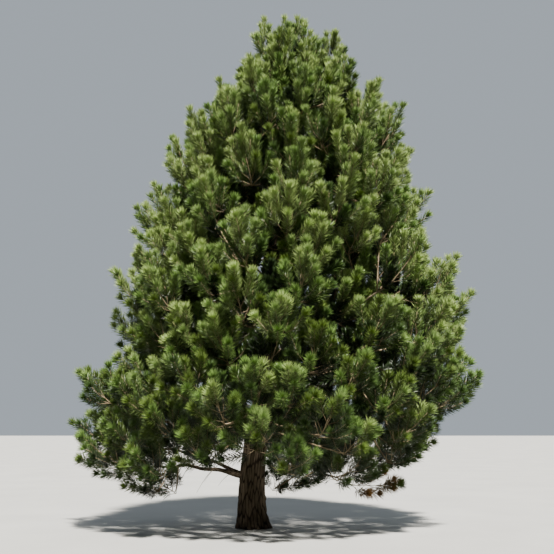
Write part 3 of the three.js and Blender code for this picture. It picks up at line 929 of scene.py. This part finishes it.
def make_shoot_wood(shoots, material, nodes):
    """The wood of the shoots: thin tubes along their curves."""
    share = np.arange(SHOOT_STEPS) / (SHOOT_STEPS - 1)
    paths = curve(shoots["line"][:, :, None], share)
    add_tubes("shoots", paths, between(SHOOT_RADIUS, SHOOT_TIP_RADIUS, share), SHOOT_SIDES, material, nodes)


def make_buds(shoots, material, nodes):
    """A resting bud at the end of each leading shoot: a short spindle, swollen below its middle."""
    line = shoots["line"][:, shoots["leads"]]
    along, swell = BUD_PROFILE.T
    heading = curve_heading(line, 1)
    paths = line[2][:, None] + heading[:, None] * (BUD_LENGTH * along)[:, None]
    add_tubes("buds", paths, BUD_RADIUS * swell, BUD_SIDES, material, nodes)


def needles_of(shoots, chosen):
    """Needles of the chosen shoots: up each, turn by turn of the golden angle, standing out at an angle
    that closes towards the top of the crown, and the last share of them at the very tip, in a fan that
    closes. Each is rolled about its own length by chance. Gives points, triangles and a share that grows
    along both the shoot and the needle, which sets their painted shade and painted light."""
    start, _, end = shoots["line"][:, chosen]
    fine = shoots["fine"][chosen]
    crowd = between(INNER_NEEDLE_SHARE, 1, fine)
    span = np.linalg.norm(end - start, axis=1)
    counts = np.round(NEEDLES_PER_METRE * span * (1 - BARE_SHOOT) * crowd).astype(int)
    index = np.repeat(chosen, counts)
    order = np.arange(len(index)) - np.repeat(np.cumsum(counts) - counts, counts)
    share = (order + chance(index, order, 1)) / np.repeat(counts, counts)
    climb = between(BARE_SHOOT, 1, np.minimum(share / (1 - TIP_FAN_SHARE), 1))
    fan = np.clip((share - 1 + TIP_FAN_SHARE) / TIP_FAN_SHARE, 0, 1)
    line = shoots["line"][:, index]
    root = curve(line, climb)
    along = curve_heading(line, climb)
    away = turned(along, (order * GOLDEN_TURN + 2 * np.pi * chance(index, 3, 2))[:, None])
    angle = between(NEEDLE_ANGLE, TOP_NEEDLE_ANGLE, (root[:, 2] / CROWN_TOP) ** 2)
    angle = between(angle, TIP_FAN_END, fan) + NEEDLE_ANGLE_VARIATION * swing(index, order, 4)
    spread = np.radians(angle)[:, None]
    heading = along * np.cos(spread) + away * np.sin(spread)
    level = unit(np.cross(along, away))
    roll = np.radians(NEEDLE_ROLL * swing(index, order, 7))[:, None]
    wide = level * np.cos(roll) + np.cross(heading, level) * np.sin(roll)
    length = NEEDLE_LENGTH * varied(NEEDLE_VARIATION, index, order, 5)
    width = between(INNER_NEEDLE_WIDTH, NEEDLE_WIDTH, np.repeat(fine, counts))
    width = width * varied(NEEDLE_VARIATION, index, order, 6)
    points, faces = blades(root, heading, wide, length, width)
    on_needle = np.array([0, NEEDLE_WIDEST, NEEDLE_WIDEST, 1])
    return points, faces, TONE_BY_SHOOT * share[:, None] + (1 - TONE_BY_SHOOT) * on_needle


def deal_tints(shoots, sprays):
    """The shoots of each tint: ranked from light to deep by their spray's chance, their own, their place and
    their height, and dealt in equal shares; place and height paint shade inside the crown, low on a spray
    and low down. On the low right limb's end spray some have browned."""
    number = np.arange(len(shoots["spray"]))
    score = TINT_BY_SPRAY * chance(shoots["spray"], 1, 9) + TINT_BY_SHOOT * chance(number, 2, 9)
    score += PAINTED_SHADE_BY_PLACE * shoots["place"]
    score += PAINTED_SHADE_BY_HEIGHT * np.minimum(shoots["line"][2][:, 2] / PAINTED_SHADE_FULL_HEIGHT, 1)
    end_of_limb = [spray["limb"]["name"] for spray in sprays].index(BROWNED_LIMB)
    browned = (shoots["spray"] == end_of_limb) & (chance(number, 3, 9) < BROWNED_SHARE)
    ranked = np.argsort(-score)
    ranked = ranked[~browned[ranked]]
    dealt = np.array_split(ranked, len(NEEDLE_TINTS))
    return dealt + [np.flatnonzero(browned)]


def make_needles(shoots, sprays, nodes):
    """The needles, one piece for each tint."""
    for (tint, colour), chosen in zip(NEEDLE_TINTS + [BROWNED], deal_tints(shoots, sprays)):
        name = f"needles_{tint}"
        points, faces, along = needles_of(shoots, np.sort(chosen))
        material = needle_material(name, colour)
        add_piece(name, points, faces, material, "needles", nodes, smooth=False, along=along)


def make_dead_twigs(limbs, material, nodes):
    """Bare dead twigs on the boughs: thin, turned round the bough by the golden angle, straight on at a
    slant and sagging with the square of the way out."""
    order = np.arange(DEAD_TWIGS_PER_BOUGH)
    t = np.linspace(0, 1, DEAD_TWIG_STEPS)[:, None]
    paths = []
    for limb in limbs:
        if limb["bare"] == 0:
            continue
        seed = limb["seed"]
        step = (order + chance(seed, order, 21)) / DEAD_TWIGS_PER_BOUGH
        share = limb["bare"] * (DEAD_TWIGS_FROM + DEAD_TWIGS_OVER * step)
        heading = curve_heading(limb["line"], share)
        away = turned(heading, (order * GOLDEN_TURN + 2 * np.pi * chance(seed, 22, 0))[:, None])
        size = (DEAD_TWIG_LENGTH * varied(DEAD_TWIG_VARIATION, seed, order, 23))[:, None]
        going = unit(away + heading * DEAD_TWIG_SLANT) * size
        sag = UP * DEAD_TWIG_SAG * size
        paths.append(curve(limb["line"], share)[:, None] + going[:, None] * t - sag[:, None] * t**2)
    paths = np.concatenate(paths)
    radii = DEAD_TWIG_RADIUS * np.linspace(1, DEAD_TWIG_TAPER, DEAD_TWIG_STEPS)
    add_tubes("dead_twigs", paths, radii, DEAD_TWIG_SIDES, material, nodes)


# Materials


def set_inputs(tree, node, inputs):
    """Inputs of a node set to values, or linked where another node's output is given."""
    for label, value in inputs.items():
        if isinstance(value, bpy.types.NodeSocket):
            tree.links.new(value, node.inputs[label])
        else:
            node.inputs[label].default_value = value


def add_node(tree, kind, output, **inputs):
    """A node of a kind with some of its inputs; gives one of its outputs."""
    node = tree.nodes.new(kind)
    set_inputs(tree, node, inputs)
    return node.outputs[output]


def add_noise(tree, scale, detail, stretch=(1, 1, 1)):
    """Noise on Object coordinates, stretched by a factor on each axis; gives its value from 0 to 1."""
    place = add_node(tree, "ShaderNodeTexCoord", "Object")
    place = add_node(tree, "ShaderNodeMapping", "Vector", Vector=place, Scale=stretch)
    return add_node(tree, "ShaderNodeTexNoise", "Fac", Vector=place, Scale=scale, Detail=detail)


def add_attribute(tree, name):
    """A value that the mesh holds at its points."""
    node = tree.nodes.new("ShaderNodeAttribute")
    node.attribute_name = name
    return node.outputs["Fac"]


def add_range(tree, value, low, high, to_low=0.0, to_high=1.0):
    """A value moved from one range to another, kept within it."""
    ends = {"From Min": low, "From Max": high, "To Min": to_low, "To Max": to_high}
    return add_node(tree, "ShaderNodeMapRange", "Result", Value=value, **ends)


def add_mix(tree, share, first, second):
    """A colour between two others."""
    node = tree.nodes.new("ShaderNodeMix")
    node.data_type = "RGBA"
    set_inputs(tree, node, {"Factor": share, "A": first, "B": second})
    return node.outputs["Result"]


def add_math(tree, operation, first, second):
    """Two values, or a value and a number, put together."""
    node = tree.nodes.new("ShaderNodeMath")
    node.operation = operation
    set_inputs(tree, node, {0: first, 1: second})
    return node.outputs["Value"]


def new_group(name, colours, values=()):
    """A shader node group that takes colours and puts out a colour, and values where named. Gives the
    group, what comes into it, and the node that its results leave by."""
    group = bpy.data.node_groups.new(name, "ShaderNodeTree")
    sockets = [(label, "INPUT", "NodeSocketColor") for label in colours]
    sockets.append(("Color", "OUTPUT", "NodeSocketColor"))
    sockets += [(label, "OUTPUT", "NodeSocketFloat") for label in values]
    for label, direction, kind in sockets:
        group.interface.new_socket(name=label, in_out=direction, socket_type=kind)
    return group, group.nodes.new("NodeGroupInput").outputs, group.nodes.new("NodeGroupOutput")


def needle_tone_group():
    """Needle colour: from a deeper foot, painted shade, to a lighter tip, painted light, in uneven patches
    of tone.
    """
    group, given, leave = new_group("needle_tone", ["Deep", "Light"])
    along = add_range(group, add_attribute(group, "along"), *ALONG_RANGE)
    patch = add_range(group, add_noise(group, PATCH_SCALE, PATCH_DETAIL), *PATCH_RANGE)
    share = add_math(group, "ADD", patch, along)
    set_inputs(group, leave, {"Color": add_mix(group, share, given["Deep"], given["Light"])})
    return group


def bark_tone_group():
    """Bark colour, height and roughness: dark furrows, uneven plates, pale flecks and a fine grain."""
    group, given, leave = new_group("bark_tone", ["Furrow", "Plate", "Fleck"], ["Height", "Roughness"])
    grain = add_noise(group, GRAIN_SCALE, GRAIN_DETAIL, GRAIN_STRETCH)
    tone = add_math(group, "MULTIPLY", add_attribute(group, "tone"), PLATE_TONE_SHARE)
    lit = add_math(group, "ADD", tone, add_range(group, grain, *GRAIN_TONE_RANGE))
    plate = add_mix(group, lit, given["Plate"], given["Fleck"])
    furrow = add_range(group, add_attribute(group, "furrow"), *FURROW_RANGE)
    set_inputs(group, leave, {
        "Color": add_mix(group, furrow, plate, given["Furrow"]),
        "Height": add_noise(group, RELIEF_SCALE, RELIEF_DETAIL, RELIEF_STRETCH),
        "Roughness": add_range(group, grain, *GRAIN_ROUGHNESS_RANGE),
    })
    return group


def new_material(name):
    """A material with its Principled shader."""
    material = bpy.data.materials.new(name)
    material.use_nodes = True
    return material, material.node_tree, material.node_tree.nodes["Principled BSDF"]


def place_group(tree, group, colours):
    """A node group placed in a material with its own colours; gives what it puts out."""
    node = tree.nodes.new("ShaderNodeGroup")
    node.node_tree = group
    set_inputs(tree, node, {label: (*colour, 1.0) for label, colour in colours.items()})
    return node.outputs


NEEDLE_TONE = needle_tone_group()
BARK_TONE = bark_tone_group()


def needle_material(name, colour):
    """Satin needles of one tint, from a deeper to a lighter shade of it: painted shade towards the foot and
    painted light towards the tip.
    """
    material, tree, shader = new_material(name)
    deep = tuple(NEEDLE_DEEP * value for value in colour)
    light = tuple(NEEDLE_LIGHT * value for value in colour)
    tone = place_group(tree, NEEDLE_TONE, {"Deep": deep, "Light": light})
    set_inputs(tree, shader, {"Base Color": tone["Color"], "Roughness": NEEDLE_ROUGHNESS})
    return material


def bark_material(name, furrow, plate, fleck, strength):
    """Dry bark or wood: its tones by furrow and plate, and a grain that stands out."""
    material, tree, shader = new_material(name)
    tone = place_group(tree, BARK_TONE, {"Furrow": furrow, "Plate": plate, "Fleck": fleck})
    relief = {"Strength": strength, "Distance": RELIEF_DISTANCE, "Height": tone["Height"]}
    set_inputs(tree, shader, {
        "Base Color": tone["Color"],
        "Roughness": tone["Roughness"],
        "Normal": add_node(tree, "ShaderNodeBump", "Normal", **relief),
        "Specular IOR Level": BARK_SPECULAR,
    })
    return material


# Stage


def make_floor():
    """A wide pale floor: a level square with its middle under the tree. It throws little light back up."""
    mesh = bpy.data.meshes.new("floor")
    corners = [(x * FLOOR_HALF, y * FLOOR_HALF, 0) for x, y in ((-1, -1), (1, -1), (1, 1), (-1, 1))]
    mesh.from_pydata(corners, [], [(0, 1, 2, 3)])
    material, tree, shader = new_material("pale_floor")
    tone = add_range(tree, add_noise(tree, FLOOR_SCALE, FLOOR_DETAIL), *FLOOR_RANGE)
    bounced = add_node(tree, "ShaderNodeLightPath", "Is Diffuse Ray")
    colour = add_mix(tree, bounced, add_mix(tree, tone, *FLOOR_COLOURS), FLOOR_BOUNCE)
    set_inputs(tree, shader, {"Base Color": colour, "Roughness": FLOOR_ROUGHNESS})
    mesh.materials.append(material)
    floor = add_object("floor", mesh)


def make_light():
    """Studio light: a key from the front, high and a little to the right, and a surround that fills in
    dimly from the front and more strongly from behind, and is seen as a plain pale backdrop."""
    sun = bpy.data.lights.new("key", "SUN")
    sun.energy = KEY_STRENGTH
    sun.angle = np.radians(KEY_SPREAD)
    sun.color = KEY_COLOUR
    key = add_object("key", sun)
    key.rotation_euler = np.radians(KEY_TURN)
    world = bpy.data.worlds.new("surround")
    world.use_nodes = True
    tree = world.node_tree
    heading = add_node(tree, "ShaderNodeTexCoord", "Generated")
    behind = add_node(tree, "ShaderNodeSeparateXYZ", "Y", Vector=heading)
    fill = add_range(tree, behind, 0.0, 1.0, FILL_LIGHT, BACK_LIGHT)
    seen = add_node(tree, "ShaderNodeLightPath", "Is Camera Ray")
    lit = add_math(tree, "MULTIPLY", fill, add_math(tree, "SUBTRACT", 1.0, seen))
    strength = add_math(tree, "ADD", lit, add_math(tree, "MULTIPLY", seen, BACKDROP_LIGHT))
    set_inputs(tree, tree.nodes["Background"], {"Color": SURROUND_COLOUR, "Strength": strength})
    bpy.context.scene.world = world


def make_camera():
    """The photograph's view: eye height, straight along +Y and tilted up."""
    lens = bpy.data.cameras.new("camera")
    lens.lens = LENS
    lens.sensor_width = SENSOR
    lens.clip_end = SIGHT
    camera = add_object("camera", lens)
    camera.location = CAMERA_PLACE
    camera.rotation_euler = np.radians(CAMERA_TURN)
    bpy.context.scene.camera = camera


def make_tree():
    """The whole tree: trunk, boughs, stems, twigs, shoots, buds, dead twigs and needles."""
    limbs = list_limbs()
    sprays = grow_crown(limbs)
    shoots = list_shoots(sprays, limbs)
    masses = ["needles_" + limb["name"] for limb in limbs]
    boughs = ["bough_" + limb["name"] for limb in limbs if limb["bare"] > 0]
    woods = {name: bark_material(name, *look) for name, look in BARKS.items()}
    make_trunk(woods["trunk_bark"])
    make_boughs(limbs, woods["limb_bark"])
    stretches = [(limb["bare"], 1) for limb in limbs]
    add_limbs("stems", limbs, stretches, STEM_SIDES, STEM_RINGS, woods["stem_bark"], masses)
    make_twigs(sprays, woods["twig_bark"], masses)
    make_shoot_wood(shoots, woods["twig_bark"], masses)
    make_buds(shoots, woods["bud_scale"], masses)
    make_dead_twigs(limbs, woods["dead_wood"], boughs)
    make_needles(shoots, sprays, masses)


make_camera()
make_light()
make_floor()
make_tree()
